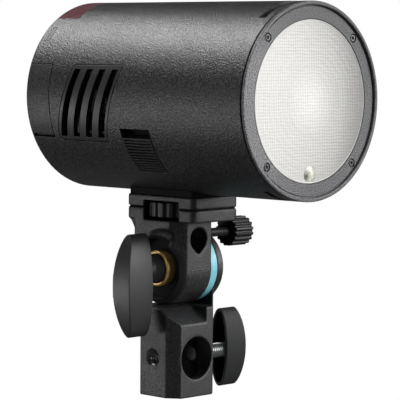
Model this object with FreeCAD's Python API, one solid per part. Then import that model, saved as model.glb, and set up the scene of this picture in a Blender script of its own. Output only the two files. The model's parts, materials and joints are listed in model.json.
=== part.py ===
import FreeCAD, Part
import math
import os

# A battery flash head on its tilting stand bracket, in millimetres.
# Origin: the centre of the stand bore's mouth, on the flat bottom of the stand block.
# +Z is up, and the lens faces -Y.

V = FreeCAD.Vector

# ---- driving dimensions -------------------------------------------------

BARREL_RADIUS = 38.0
BARREL_LENGTH = 121.6
BARREL_Z = 119.3
FRONT_Y = -72.0
WALL = 2.0
REAR_EDGE_ROUND = 1.8

LIP_DEPTH = 1.0
PARTING_GAP = 0.7
BEZEL_OUTER = 35.8
LENS_RADIUS = 31.15
LENS_FLANGE = 31.95
BEZEL_SCREW_RADIUS = 33.9
LED_DROP = 27.5
LED_RADIUS, LED_BASE_RADIUS = 3.2, 3.9

VENT_TOP, VENT_BOTTOM = 13.1, -17.25
VENT_TOP_SPAN = (65.9, 94.6)
VENT_LEAN = 10.75
VENT_SLOPE = VENT_LEAN / (VENT_TOP - VENT_BOTTOM)
VENT_SLOTS, VENT_PITCH, VENT_SLOT_WIDTH = 4, 7.2, 3.3
VENT_FIRST_SLOT = 70.0

PORT_ANGLES = (69.7, 115.5)
PORT_FRONT = 106.9
LATCH_WINDOW_ANGLES = (107.7, 138.9)
LATCH_WINDOW_SPAN = (51.5, 67.6)
LATCH_TRAVEL = 5.0
LATCH_RIBS = 12
SENSOR_HALF_ANGLE = 34.5
SENSOR_FRONT, SENSOR_SAG = 107.0, 3.0
SLOT_SPAN = (4.7, 8.3)
LIGHT_ANGLES = (43.3, 54.6)
LIGHT_SPAN = (114.9, 117.0)

BATTERY_HALF_HEIGHT = 20.0
BATTERY_SPAN = (37.0, 107.0)
BATTERY_INNER_X = 13.0
CELL_RADIUS, CELL_LENGTH = 9.15, 65.0
CELL_X, CELL_HEIGHT = 23.9, 9.4
BAY_WALL = 1.2

PANEL_SPAN = (118.2, 120.4)
DIAL_DROP = -15.0
DIAL_RADIUS = 11.5
BUTTON_PLACES = {
    "button_left_upper": (21.5, -6.0),
    "button_left_lower": (21.5, -20.5),
    "button_right_upper": (-21.5, -6.0),
    "button_right_lower": (-21.5, -20.5),
}
REAR_SCREW_RADIUS = 32.2
SWITCH_HEIGHT = -31.3

FOOT_TOP, FOOT_BOTTOM = -38.6, -43.35
ARM_TOP, HEAD_BOTTOM, POCKET_FLOOR = -43.65, -48.7, -47.7
SEAM_HEIGHT, SEAM_DEPTH = 0.35, 0.45
PAD_INSET = 2.0
WINDOW_SPAN = (-13.3, 6.4)
WHEEL_POCKET_RADIUS = 12.6
PIN_PLACES = (-19.4, 14.4)
PIN_RADIUS, PIN_HOLE_RADIUS = 1.4, 1.45
FOOT_SCREW_X, FOOT_SCREW_FRONT_Y, FOOT_SCREW_REAR_Y = 9.0, -18.8, 13.3
INSERT_RADIUS = 4.5

PLATE_HALF_WIDTH = 12.8
PLATE_FRONT_Y, PLATE_REAR_Y = -22.1, 16.8
PLATE_CORNER = 3.0
STUD_Y = -0.7
STUD_RADIUS = 3.12
WHEEL_RADIUS = 12.1

TILT_Y, TILT_Z = 1.2, 51.2
KNUCKLE_RADIUS = 14.8
ARM_NEAR_X, ARM_FAR_X = -12.8, 6.0
ARM_FRONT_Y, ARM_REAR_Y = -13.6, 12.5
BRACKET_CHAMFER = 5.3
DISC_NEAR_X, DISC_FAR_X = 6.2, 9.7
EAR_NEAR_X, EAR_FAR_X = 9.9, 13.4
TILT_BOLT_RADIUS = 2.95
RUNNING_GAP = 0.05

UMBRELLA_X, UMBRELLA_Z, UMBRELLA_RADIUS = -1.3, 63.2, 4.6
UMBRELLA_TIP_DROP, UMBRELLA_TIP_RADIUS = 5.7, 1.6
UMBRELLA_SCREW_Y, UMBRELLA_SCREW_Z = -8.5, 65.0

BLOCK_HALF = 13.4
BLOCK_CORNER_X = -9.7
BLOCK_FRONT_Y, BLOCK_REAR_Y = -12.5, 12.5
BLOCK_TOP_FRONT = 29.3
BORE_RADIUS = 8.15
BORE_DEPTH = 26.3
SHELF_BACK_Z = 35.8
NECK_NEAR_X = 4.4
CROSS_X, CROSS_Z, CROSS_RADIUS = -0.95, 15.6, 8.45
CROSS_END_Y = 0.0
RECESS_RADIUS, RECESS_FLOOR_X = 12.2, -7.6
BUSH_RADIUS, BUSH_BORE_RADIUS = 7.2, 6.1
BUSH_FRONT_X, BUSH_REAR_X = -11.0, -5.0
HUB_RADIUS = 5.8
SIDE_THREAD_RADIUS = 3.2
STAND_SCREW_Z = 15.2
STAND_SCREW_RADIUS = 3.0
SCREW_NECK_RADIUS = 2.2

CLEAR = 0.3


# ---- places and plain shapes ---------------------------------------------

def back(distance):
    """Y of a place this far behind the front lip."""
    return FRONT_Y + distance


def lift(height):
    """Z of a place this far above the barrel's axis."""
    return BARREL_Z + height


def box(x0, x1, y0, y1, z0, z1):
    return Part.makeBox(x1 - x0, y1 - y0, z1 - z0, V(x0, y0, z0))


def x_rod(radius, x0, x1, y, z):
    return Part.makeCylinder(radius, x1 - x0, V(x0, y, z), V(1, 0, 0))


def y_rod(radius, y0, y1, x, z):
    return Part.makeCylinder(radius, y1 - y0, V(x, y0, z), V(0, 1, 0))


def z_rod(radius, z0, z1, x, y):
    return Part.makeCylinder(radius, z1 - z0, V(x, y, z0), V(0, 0, 1))


def prism(points, along):
    """Flat outline of 3-D points, drawn out along a vector."""
    return Part.Face(Part.makePolygon(points + points[:1])).extrude(along)


def side_prism(outline, x0, x1):
    """Outline of (distance behind the front, height above the axis), seen from the side."""
    return prism([V(x0, back(d), lift(h)) for d, h in outline], V(x1 - x0, 0, 0))


def plan_prism(outline, z0, z1):
    """Outline of (x, y) points, seen from above."""
    return prism([V(x, y, z0) for x, y in outline], V(0, 0, z1 - z0))


def turned(profile, angle=0.0, sweep=360.0):
    """(radius, distance behind the front) points turned about the barrel's axis.

    Angles start at the barrel's top and grow towards -X.
    """
    a = math.radians(angle)
    points = [V(-r * math.sin(a), back(d), lift(r * math.cos(a))) for r, d in profile]
    face = Part.Face(Part.makePolygon(points + points[:1]))
    return face.revolve(V(0, 0, BARREL_Z), V(0, -1, 0), sweep)


def sector(angles, span, radii=(20.0, 60.0)):
    """Part of a ring about the barrel's axis, between two angles and two distances."""
    inner, outer = radii
    front, rear = span
    profile = [(inner, front), (outer, front), (outer, rear), (inner, rear)]
    return turned(profile, angles[0], angles[1] - angles[0])


def rims(shape, radius, distance):
    """Full circles of this radius, this far behind the front lip."""
    return [e for e in shape.Edges
            if len(e.Vertexes) == 1 and abs(e.Length - 2 * math.pi * radius) < 0.01
            and abs(e.CenterOfMass.y - back(distance)) < 0.01]


def turned_x(profile, y, z):
    """(x, radius) points turned about a line along X."""
    points = [V(x, y, z + r) for x, r in profile]
    face = Part.Face(Part.makePolygon(points + points[:1]))
    return face.revolve(V(0, y, z), V(1, 0, 0), 360)


def rounded_plate(x0, x1, y0, y1, z0, z1, corner):
    plate = box(x0, x1, y0, y1, z0, z1)
    upright = [e for e in plate.Edges if abs(e.tangentAt(e.FirstParameter).z) > 0.9]
    return plate.makeFillet(corner, upright)


def fluted(radius, length, start, along, count, depth):
    """Round bar with round flutes cut along it."""
    body = Part.makeCylinder(radius, length, start, along)
    side = V(0, 0, 1) if abs(along.z) < 0.5 else V(1, 0, 0)
    flute_radius = math.pi * radius / count * 0.55
    cutters = []
    for i in range(count):
        out = FreeCAD.Rotation(along, 360.0 * i / count).multVec(side)
        centre = start + out * (radius + flute_radius - depth)
        cutters.append(Part.makeCylinder(flute_radius, length, centre, along))
    return body.cut(cutters)


def save(node, *solids):
    shape = solids[0] if len(solids) == 1 else Part.makeCompound(list(solids))
    shape.exportStep("parts/" + node + ".step")


# ---- barrel ---------------------------------------------------------------

def barrel_tube():
    """The whole outer wall, before its openings are cut."""
    front = LIP_DEPTH + PARTING_GAP
    inner = BARREL_RADIUS - WALL
    profile = [(inner, front), (BARREL_RADIUS, front),
               (BARREL_RADIUS, BARREL_LENGTH), (inner, BARREL_LENGTH)]
    tube = turned(profile)
    tube = tube.makeFillet(REAR_EDGE_ROUND, rims(tube, BARREL_RADIUS, BARREL_LENGTH))
    return tube.makeFillet(0.3, rims(tube, BARREL_RADIUS, front))


def vent_outline(inset):
    """Leaning parallelogram of the vent, drawn in by an even inset."""
    sideways = inset * math.hypot(1.0, VENT_SLOPE)
    front = VENT_TOP_SPAN[0] + sideways
    rear = VENT_TOP_SPAN[1] - sideways
    top_shift = VENT_SLOPE * inset
    bottom_shift = VENT_LEAN - VENT_SLOPE * inset
    top, bottom = VENT_TOP - inset, VENT_BOTTOM + inset
    return [(front + top_shift, top), (rear + top_shift, top),
            (rear + bottom_shift, bottom), (front + bottom_shift, bottom)]


def vent_opening(inset):
    """The vent's outline drawn through the near wall, its two rear corners rounded."""
    block = side_prism(vent_outline(inset), -50.0, -5.0)
    rounded = []
    for edge in block.Edges:
        if abs(edge.tangentAt(edge.FirstParameter).x) < 0.9:
            continue
        if edge.CenterOfMass.y > back(VENT_TOP_SPAN[1] - 1.0):
            rounded.append(edge)
    return block.makeFillet(2.6 - inset, rounded)


def sensor_block(gap):
    """Room for the window over the top, whose front edge bows towards the rear."""
    half_angle = SENSOR_HALF_ANGLE - 1.5 * gap
    half_width = BARREL_RADIUS * math.sin(math.radians(SENSOR_HALF_ANGLE))
    bow = (half_width ** 2 + SENSOR_SAG ** 2) / (2 * SENSOR_SAG)
    block = sector((-half_angle, half_angle), (SENSOR_FRONT + gap, 130.0))
    return block.cut(z_rod(bow + gap, lift(20.0), lift(50.0), 0.0, back(SENSOR_FRONT + SENSOR_SAG) - bow))


def battery_block(gap):
    return box(BATTERY_INNER_X - gap, 50.0,
               back(BATTERY_SPAN[0] - gap), back(BATTERY_SPAN[1] + gap),
               lift(-BATTERY_HALF_HEIGHT - gap), lift(BATTERY_HALF_HEIGHT + gap))


def foot_screw_places():
    return [(x, y) for x in (-FOOT_SCREW_X, FOOT_SCREW_X) for y in (FOOT_SCREW_FRONT_Y, FOOT_SCREW_REAR_Y)]


def barrel_shell():
    shell = barrel_tube()
    openings = [
        vent_opening(0.0),
        sector(PORT_ANGLES, (PORT_FRONT, 130.0)),
        sector(LATCH_WINDOW_ANGLES, LATCH_WINDOW_SPAN),
        sensor_block(0.0),
        sector(LIGHT_ANGLES, LIGHT_SPAN),
        sector((-SENSOR_HALF_ANGLE, SENSOR_HALF_ANGLE), SLOT_SPAN),
        sector((152.0, 208.0), (5.8, 8.7)),
        battery_block(0.3),
    ]
    shell = shell.cut(openings)
    inside = y_rod(BARREL_RADIUS - 0.5, -40.0, 40.0, 0.0, BARREL_Z)
    bosses = [z_rod(2.6, lift(-36.8), lift(-32.0), x, y).common(inside) for x, y in foot_screw_places()]
    shell = shell.fuse(bosses)
    holes = [z_rod(1.3, lift(-40.0), lift(-33.0), x, y) for x, y in foot_screw_places()]
    holes.append(z_rod(INSERT_RADIUS + RUNNING_GAP, lift(-42.0), lift(-30.0), 0.0, STUD_Y))
    return shell.cut(holes)


def front_collar():
    outer = BARREL_RADIUS
    slide = BARREL_RADIUS - WALL - 0.1
    gap_rear = LIP_DEPTH + PARTING_GAP
    profile = [(36.4, 0.0), (outer, 0.0), (outer, LIP_DEPTH), (37.0, LIP_DEPTH), (37.0, gap_rear),
               (slide, gap_rear), (slide, 10.0), (33.4, 10.0), (33.4, 6.0), (30.4, 6.0),
               (30.4, 4.6), (LENS_FLANGE + 0.1, 4.6), (LENS_FLANGE + 0.1, 2.4),
               (BEZEL_OUTER + 0.05, 2.4), (BEZEL_OUTER + 0.05, 1.4), (36.4, 1.4)]
    collar = turned(profile)
    collar = collar.makeFillet(0.45, rims(collar, outer, 0.0) + rims(collar, 36.4, 0.0))
    holes = [y_rod(0.85, back(2.0), back(8.0), x, z) for x, z in bezel_screw_places()]
    holes.append(y_rod(4.2, back(2.0), back(7.0), 0.0, lift(-LED_DROP)))
    return collar.cut(holes)


def bezel_screw_places():
    reach = BEZEL_SCREW_RADIUS * math.sqrt(0.5)
    return [(x, lift(h)) for x in (-reach, reach) for h in (-reach, reach)]


def bezel_ring():
    ring = turned([(LENS_RADIUS + 0.1, 1.0), (BEZEL_OUTER, 1.0), (BEZEL_OUTER, 2.4), (LENS_RADIUS + 0.1, 2.4)])
    for x, z in bezel_screw_places():
        ring = ring.cut(y_rod(0.95, back(0.5), back(3.0), x, z))
        ring = ring.cut(y_rod(1.75, back(0.5), back(1.9), x, z))
    return ring


def bezel_screws():
    screws = []
    for x, z in bezel_screw_places():
        screw = y_rod(1.6, back(1.05), back(1.9), x, z).fuse(y_rod(0.8, back(1.9), back(6.5), x, z))
        socket = Part.makeCylinder(0.75, 0.6, V(x, back(0.9), z), V(0, 1, 0))
        screws.append(screw.cut(socket))
    return screws


def front_lens():
    lens = turned([(0.0, 1.2), (LENS_RADIUS, 1.2), (LENS_RADIUS, 2.4), (LENS_FLANGE, 2.4),
                   (LENS_FLANGE, 3.6), (0.0, 3.6)])
    return lens.cut(y_rod(LED_RADIUS + 0.1, back(0.0), back(5.0), 0.0, lift(-LED_DROP)))


def led_lens():
    """Clear dome that carries the modelling light through the front lens."""
    height = lift(-LED_DROP)
    base = y_rod(LED_BASE_RADIUS, back(3.9), back(7.0), 0.0, height)
    dome = Part.makeSphere(6.8, V(0.0, back(7.2), height))
    dome = dome.common(y_rod(LED_RADIUS, back(0.0), back(4.2), 0.0, height))
    return base.fuse(dome).removeSplitter()


def led_board():
    board = y_rod(4.0, back(7.1), back(8.7), 0.0, lift(-LED_DROP))
    sink = y_rod(4.0, back(8.7), back(16.0), 0.0, lift(-LED_DROP))
    fins = [box(-5.0, 5.0, back(10.0 + 1.6 * i), back(10.8 + 1.6 * i), lift(-LED_DROP - 5), lift(-LED_DROP + 5))
            .common(y_rod(4.9, back(9.0), back(18.0), 0.0, lift(-LED_DROP))) for i in range(4)]
    return board.fuse([sink] + fins).removeSplitter()


def lens_gasket():
    ring = turned([(30.6, 3.65), (31.9, 3.65), (31.9, 4.55), (30.6, 4.55)])
    return ring.cut(y_rod(4.2, back(2.0), back(7.0), 0.0, lift(-LED_DROP)))


def reflector():
    """Deep polished bowl behind the lens, with a cut-out for the modelling light."""
    outside = [(31.2, 6.2), (31.2, 7.4), (29.4, 12.0), (25.6, 19.0), (20.4, 26.0), (13.0, 33.0)]
    inside = [(r - 1.0, d - 0.5) for r, d in outside[:0:-1]]
    bowl = turned(outside + [(10.4, 33.0)] + inside + [(30.2, 6.2)])
    return bowl.cut(y_rod(5.4, back(5.0), back(20.0), 0.0, lift(-LED_DROP)))


def flash_tube():
    """Ring-shaped discharge tube on two straight legs."""
    ring = Part.makeTorus(8.0, 2.6, V(0.0, back(18.0), BARREL_Z), V(0, 1, 0))
    legs = [y_rod(2.0, back(18.0), back(36.0), side * 5.2, lift(-6.0)) for side in (-1, 1)]
    return ring.fuse(legs)


def tube_socket():
    disc = y_rod(10.0, back(34.2), back(40.5), 0.0, BARREL_Z)
    holes = [y_rod(2.1, back(33.0), back(36.5), side * 5.2, lift(-6.0)) for side in (-1, 1)]
    return disc.cut(holes)


def vent_grille():
    """Vent panel in the near wall, with leaning slots."""
    inner = BARREL_RADIUS - WALL
    wall = turned([(inner, 60.0), (BARREL_RADIUS, 60.0), (BARREL_RADIUS, 112.0), (inner, 112.0)])
    panel = wall.common(vent_opening(0.3))
    top, bottom = VENT_TOP - 1.9, VENT_BOTTOM + 1.7
    half = VENT_SLOT_WIDTH / 2 * math.hypot(1.0, VENT_SLOPE)
    drop = VENT_SLOPE * (top - bottom)
    for i in range(VENT_SLOTS):
        centre = VENT_FIRST_SLOT + VENT_PITCH * i
        outline = [(centre - half, top), (centre + half, top),
                   (centre + drop + half, bottom), (centre + drop - half, bottom)]
        panel = panel.cut(side_prism(outline, -50.0, -5.0))
    return panel


def port_cover():
    """Soft flap over the sockets, hung on its upper edge, with a nail notch below."""
    angles = (PORT_ANGLES[0] + 0.45, PORT_ANGLES[1] - 0.45)
    flap = barrel_tube().common(sector(angles, (PORT_FRONT + CLEAR, 130.0)))
    notch = sector((PORT_ANGLES[1] - 2.4, PORT_ANGLES[1]), (PORT_FRONT, 119.5), (36.9, 60.0))
    return flap.cut(notch)


def port_sockets():
    """A data socket and a round sync socket on their upright carrier."""
    carrier = box(-25.5, -24.0, back(112.0), back(117.5), lift(-13.0), lift(11.0))
    data = box(-34.2, -25.5, back(113.2), back(116.6), lift(0.5), lift(9.5))
    data = data.cut(box(-36.0, -28.0, back(114.0), back(115.8), lift(1.4), lift(8.6)))
    sync = x_rod(2.9, -33.6, -25.5, back(114.9), lift(-7.0))
    sync = sync.cut(x_rod(1.3, -36.0, -27.0, back(114.9), lift(-7.0)))
    return carrier.fuse([data, sync])


def battery_latch():
    """Ribbed slider in the near wall, with the curved band that reaches under the barrel."""
    front, rear = LATCH_WINDOW_SPAN
    top, bottom = LATCH_WINDOW_ANGLES[0] + LATCH_TRAVEL + 0.9, LATCH_WINDOW_ANGLES[1] - 0.4
    pad = sector((top, bottom), (front + CLEAR, rear - CLEAR), (35.0, 38.15))
    grooves = []
    pitch = (bottom - top - 0.6) / LATCH_RIBS
    for i in range(LATCH_RIBS):
        at = top + 0.9 + pitch * i
        grooves.append(sector((at, at + pitch * 0.5), (front + 0.8, rear - 0.8), (37.1, 40.0)))
    band = sector((top + 1.0, 228.0), (57.0, 63.0), (34.4, 35.6))
    return pad.cut(grooves).fuse(band).removeSplitter()


def latch_spring():
    coil = x_rod(1.3, -5.5, 5.5, -17.6, lift(-33.9))
    return coil.cut(x_rod(0.8, -6.0, 6.0, -17.6, lift(-33.9)))


def battery_case():
    outer = y_rod(BARREL_RADIUS, back(BATTERY_SPAN[0]), back(BATTERY_SPAN[1]), 0.0, BARREL_Z)
    case = outer.common(battery_block(0.0))
    front, rear = BATTERY_SPAN
    cells = [y_rod(CELL_RADIUS + 0.15, back(front + 2.3), back(rear - 2.3), CELL_X, lift(h))
             for h in (-CELL_HEIGHT, CELL_HEIGHT)]
    grip = box(36.6, 40.0, back(66.0), back(78.0), lift(-9.0), lift(9.0))
    return case.cut(cells + [grip])


def battery_cells():
    middle = (BATTERY_SPAN[0] + BATTERY_SPAN[1]) / 2
    return [y_rod(CELL_RADIUS, back(middle - CELL_LENGTH / 2), back(middle + CELL_LENGTH / 2), CELL_X, lift(h))
            for h in (-CELL_HEIGHT, CELL_HEIGHT)]


def battery_bay():
    """Tray that guides the battery and closes it off from the electronics."""
    rim = CLEAR + BAY_WALL
    tray = box(BATTERY_INNER_X - rim, 27.0, back(BATTERY_SPAN[0] - rim), back(BATTERY_SPAN[1] + rim),
               lift(-BATTERY_HALF_HEIGHT - rim), lift(BATTERY_HALF_HEIGHT + rim))
    return tray.cut(battery_block(CLEAR))


def battery_contacts():
    x = BATTERY_INNER_X - CLEAR - BAY_WALL
    return [box(x - 1.0, x, back(96.0), back(99.0), lift(h - 2.0), lift(h + 2.0)) for h in (-9.0, 0.0, 9.0)]


def sensor_window():
    return barrel_tube().common(sensor_block(0.1))


def indicator_light():
    start, end = LIGHT_ANGLES
    front, rear = LIGHT_SPAN
    return sector((start + 0.3, end - 0.3), (front + 0.2, rear - 0.2), (36.0, 38.0))


def flash_capacitors():
    return [y_rod(11.6, back(46.0), back(96.0), -5.0, lift(h)) for h in (-11.8, 11.8)]


def main_board():
    return box(-19.8, -18.2, back(46.0), back(105.0), lift(-24.0), lift(24.0))


def fan_frame():
    frame = box(-31.0, -23.0, back(73.5), back(98.5), lift(-14.5), lift(10.5))
    return frame.cut(x_rod(11.8, -32.0, -23.8, back(86.0), lift(-2.0)))


def fan_rotor():
    hub = x_rod(5.2, -30.6, -24.2, back(86.0), lift(-2.0))
    blades = []
    for i in range(7):
        blade = box(-29.8, -25.0, back(86.0) - 0.5, back(86.0) + 0.5, lift(2.5), lift(9.0))
        blade.rotate(V(-27.4, back(86.0), lift(5.0)), V(0, 0, 1), 35)
        blade.rotate(V(0.0, back(86.0), lift(-2.0)), V(1, 0, 0), 360.0 * i / 7)
        blades.append(blade)
    return hub.fuse(blades)


# ---- rear panel -------------------------------------------------------------

def rear_screw_places():
    places = []
    for angle in (0, 120, 240):
        a = math.radians(angle)
        places.append((REAR_SCREW_RADIUS * math.sin(a), lift(REAR_SCREW_RADIUS * math.cos(a))))
    return places


def rear_panel():
    front, rear = PANEL_SPAN
    panel = y_rod(BARREL_RADIUS - WALL - 0.05, back(front), back(rear), 0.0, BARREL_Z)
    cuts = [
        box(-18.7, 18.7, back(rear - 1.5), back(rear + 1), lift(3.3), lift(26.7)),
        box(-16.5, 16.5, back(front - 1), back(rear + 1), lift(5.5), lift(24.5)),
        y_rod(4.2, back(front - 1), back(rear + 1), 0.0, lift(DIAL_DROP)),
        box(-4.5, 4.5, back(front - 1), back(rear + 1), lift(SWITCH_HEIGHT - 1.6), lift(SWITCH_HEIGHT + 1.6)),
    ]
    for x, height in BUTTON_PLACES.values():
        cuts.append(y_rod(3.8, back(front - 1), back(rear + 1), x, lift(height)))
    for x, z in rear_screw_places():
        cuts.append(y_rod(0.9, back(front - 1), back(rear + 1), x, z))
        cuts.append(y_rod(1.85, back(rear - 0.9), back(rear + 1), x, z))
    return panel.cut(cuts)


def rear_screws():
    rear = PANEL_SPAN[1]
    return [y_rod(1.7, back(rear - 0.9), back(rear - 0.1), x, z)
            .fuse(y_rod(0.8, back(rear - 5.0), back(rear - 0.9), x, z)) for x, z in rear_screw_places()]


def display_window():
    rear = PANEL_SPAN[1]
    window = box(-18.5, 18.5, back(rear - 1.4), back(rear + 0.2), lift(3.5), lift(26.5))
    corners = [e for e in window.Edges if abs(e.tangentAt(e.FirstParameter).y) > 0.9]
    return window.makeFillet(0.8, corners)


def display_module():
    return box(-17.5, 17.5, back(112.5), back(118.0), lift(4.5), lift(25.5))


def control_board():
    disc = y_rod(31.5, back(109.6), back(111.2), 0.0, BARREL_Z)
    encoder = y_rod(5.0, back(111.2), back(116.5), 0.0, lift(DIAL_DROP))
    return disc.fuse(encoder)


def control_dial():
    """Ring-shaped select dial with fine flutes, on its hollow sleeve."""
    rear = back(PANEL_SPAN[1])
    dial = fluted(DIAL_RADIUS, 3.8, V(0.0, rear + 0.3, lift(DIAL_DROP)), V(0, 1, 0), 40, 0.35)
    sleeve = y_rod(3.9, back(117.0), rear + 1.0, 0.0, lift(DIAL_DROP))
    bore = y_rod(6.6, rear + 1.6, rear + 6.0, 0.0, lift(DIAL_DROP))
    stem_hole = y_rod(1.9, back(116.0), rear + 6.0, 0.0, lift(DIAL_DROP))
    return dial.fuse(sleeve).cut([bore, stem_hole])


def set_button():
    rear = back(PANEL_SPAN[1])
    cap = y_rod(6.2, rear + 2.8, rear + 4.4, 0.0, lift(DIAL_DROP))
    stem = y_rod(1.6, back(118.0), rear + 2.8, 0.0, lift(DIAL_DROP))
    return cap.fuse(stem)


def function_button(x, height):
    rear = back(PANEL_SPAN[1])
    cap = y_rod(3.5, rear - 1.6, rear + 1.1, x, lift(height))
    top = [e for e in cap.Edges if abs(e.CenterOfMass.y - rear - 1.1) < 0.01 and len(e.Vertexes) == 1]
    cap = cap.makeFillet(0.4, top)
    return cap.fuse(y_rod(1.2, back(112.5), rear - 1.6, x, lift(height)))


def power_switch():
    rear = back(PANEL_SPAN[1])
    slider = box(-2.6, 0.2, rear - 2.0, rear + 0.9, lift(SWITCH_HEIGHT - 1.3), lift(SWITCH_HEIGHT + 1.3))
    grooves = [box(x, x + 0.35, rear + 0.5, rear + 2.0, lift(SWITCH_HEIGHT - 2), lift(SWITCH_HEIGHT + 2))
               for x in (-2.1, -1.4, -0.7)]
    return slider.cut(grooves)


# ---- foot under the barrel ---------------------------------------------------

def plate(inset, z0, z1):
    return rounded_plate(-PLATE_HALF_WIDTH + inset, PLATE_HALF_WIDTH - inset, PLATE_FRONT_Y + inset,
                         PLATE_REAR_Y - inset, z0, z1, PLATE_CORNER - inset)


def foot_pad():
    """Thin saddle that follows the barrel's underside."""
    pad = plate(PAD_INSET, lift(FOOT_TOP), lift(-30.0))
    pad = pad.cut(y_rod(BARREL_RADIUS + 0.02, -40.0, 40.0, 0.0, BARREL_Z))
    holes = [z_rod(1.7, lift(-40.0), lift(-30.0), x, y) for x, y in foot_screw_places()]
    holes.append(z_rod(INSERT_RADIUS + RUNNING_GAP, lift(-40.0), lift(-30.0), 0.0, STUD_Y))
    return pad.cut(holes)


def wheel_windows(near_floor, far_floor, top):
    """Side openings through which the thumbwheel is turned."""
    y0, y1 = WINDOW_SPAN
    return [box(-14.0, -5.0, y0, y1, near_floor, top), box(5.0, 14.0, y0, y1, far_floor, top)]


def foot_plate():
    body = plate(0.0, lift(FOOT_BOTTOM), lift(FOOT_TOP - SEAM_HEIGHT))
    body = body.fuse(plate(SEAM_DEPTH, lift(FOOT_TOP - SEAM_HEIGHT), lift(FOOT_TOP)))
    cuts = wheel_windows(lift(-50.0), lift(-50.0), lift(-40.9))
    cuts.append(z_rod(WHEEL_POCKET_RADIUS, lift(-50.0), lift(-41.1), 0.0, STUD_Y))
    cuts.append(z_rod(INSERT_RADIUS + RUNNING_GAP, lift(-50.0), lift(-30.0), 0.0, STUD_Y))
    for x, y in foot_screw_places():
        cuts.append(z_rod(1.7, lift(-50.0), lift(-30.0), x, y))
        cuts.append(z_rod(2.9, lift(-50.0), lift(-41.2), x, y))
    for y in PIN_PLACES:
        cuts.append(z_rod(PIN_HOLE_RADIUS, lift(-50.0), lift(-41.3), 0.0, y))
    return body.cut(cuts)


def foot_screws():
    screws = []
    for x, y in foot_screw_places():
        head = z_rod(2.7, lift(-43.0), lift(-41.2), x, y)
        screws.append(head.fuse(z_rod(1.25, lift(-41.2), lift(-33.4), x, y)))
    return screws


def foot_insert():
    """Threaded brass bush that the mount stud runs into."""
    return z_rod(INSERT_RADIUS, lift(-41.0), lift(-33.0), 0.0, STUD_Y).cut(
        z_rod(STUD_RADIUS + RUNNING_GAP, lift(-42.0), lift(-32.0), 0.0, STUD_Y))


# ---- tilting arm ---------------------------------------------------------------

def teardrop(radius, drop, tip_radius, y0, y1):
    """Round hole along Y that narrows to a small rounded bottom."""
    tip_z = UMBRELLA_Z - drop + tip_radius
    side = math.acos((radius - tip_radius) / (drop - tip_radius))
    corners = []
    for size, z in ((radius, UMBRELLA_Z), (tip_radius, tip_z)):
        across, down = size * math.sin(side), size * math.cos(side)
        corners.append((V(UMBRELLA_X - across, y0, z - down), V(UMBRELLA_X + across, y0, z - down)))
    wedge = prism([corners[0][0], corners[0][1], corners[1][1], corners[1][0]], V(0, y1 - y0, 0))
    tip = y_rod(tip_radius, y0, y1, UMBRELLA_X, tip_z)
    return y_rod(radius, y0, y1, UMBRELLA_X, UMBRELLA_Z).fuse([wedge, tip]).removeSplitter()


def soft_uprights(block):
    """Takes the sharpness off a block's upright edges."""
    upright = [e for e in block.Edges if abs(e.tangentAt(e.FirstParameter).z) > 0.9]
    return block.makeFillet(0.5, upright)


def finger_scoop():
    """Shallow oval hollow in the near face, cut by the outside of a wide torus."""
    depth, half_length, half_height = 2.0, 8.8, 4.0
    reach = half_length ** 2 / (2 * depth)
    tube = half_height ** 2 / (2 * depth)
    centre = V(ARM_NEAR_X + depth - reach, -5.2, 64.1)
    return Part.makeTorus(reach - tube, tube, centre, V(0, 0, 1))


def tilt_arm():
    head_bottom = lift(HEAD_BOTTOM)
    head = plate(0.0, head_bottom, lift(ARM_TOP - SEAM_HEIGHT))
    head = head.fuse(plate(SEAM_DEPTH, lift(ARM_TOP - SEAM_HEIGHT), lift(ARM_TOP)))
    near_front = ARM_NEAR_X + BRACKET_CHAMFER
    outline = [(near_front, ARM_FRONT_Y), (ARM_FAR_X, ARM_FRONT_Y), (ARM_FAR_X, ARM_REAR_Y),
               (ARM_NEAR_X + 1.0, ARM_REAR_Y), (ARM_NEAR_X, ARM_REAR_Y - 1.0),
               (ARM_NEAR_X, ARM_FRONT_Y + BRACKET_CHAMFER)]
    column = soft_uprights(plan_prism(outline, TILT_Z, head_bottom + 1.0))
    brace_x, brace_rear = ARM_NEAR_X + 1.0, PLATE_REAR_Y - 1.5
    profile = [(6.0, head_bottom + 0.5), (6.0, 65.0), (ARM_REAR_Y, 66.5),
               (brace_rear, head_bottom), (brace_rear, head_bottom + 0.5)]
    brace = prism([V(brace_x, y, z) for y, z in profile], V(ARM_FAR_X - brace_x, 0, 0))
    knuckle = turned_x([(ARM_NEAR_X, 0.0), (ARM_NEAR_X, KNUCKLE_RADIUS - BRACKET_CHAMFER + 0.7),
                        (near_front, KNUCKLE_RADIUS), (ARM_FAR_X, KNUCKLE_RADIUS), (ARM_FAR_X, 0.0)],
                       TILT_Y, TILT_Z)
    arm = head.fuse([column, brace, knuckle]).removeSplitter()
    cuts = [
        x_rod(RECESS_RADIUS, -14.0, RECESS_FLOOR_X, TILT_Y, TILT_Z),
        x_rod(BUSH_RADIUS + RUNNING_GAP, -9.0, BUSH_REAR_X, TILT_Y, TILT_Z),
        x_rod(TILT_BOLT_RADIUS + RUNNING_GAP, -20.0, 20.0, TILT_Y, TILT_Z),
        teardrop(UMBRELLA_RADIUS, UMBRELLA_TIP_DROP, UMBRELLA_TIP_RADIUS, -30.0, 30.0),
        x_rod(1.95, UMBRELLA_X, 20.0, UMBRELLA_SCREW_Y, UMBRELLA_SCREW_Z),
        z_rod(WHEEL_POCKET_RADIUS, lift(POCKET_FLOOR), lift(-40.0), 0.0, STUD_Y),
        z_rod(2.6, lift(-49.4), lift(-40.0), 0.0, STUD_Y),
        finger_scoop(),
    ]
    cuts += wheel_windows(lift(-48.6), lift(POCKET_FLOOR), lift(-40.0))
    cuts += [z_rod(PIN_HOLE_RADIUS, lift(-46.6), lift(-40.0), 0.0, y) for y in PIN_PLACES]
    return arm.cut(cuts)


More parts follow.
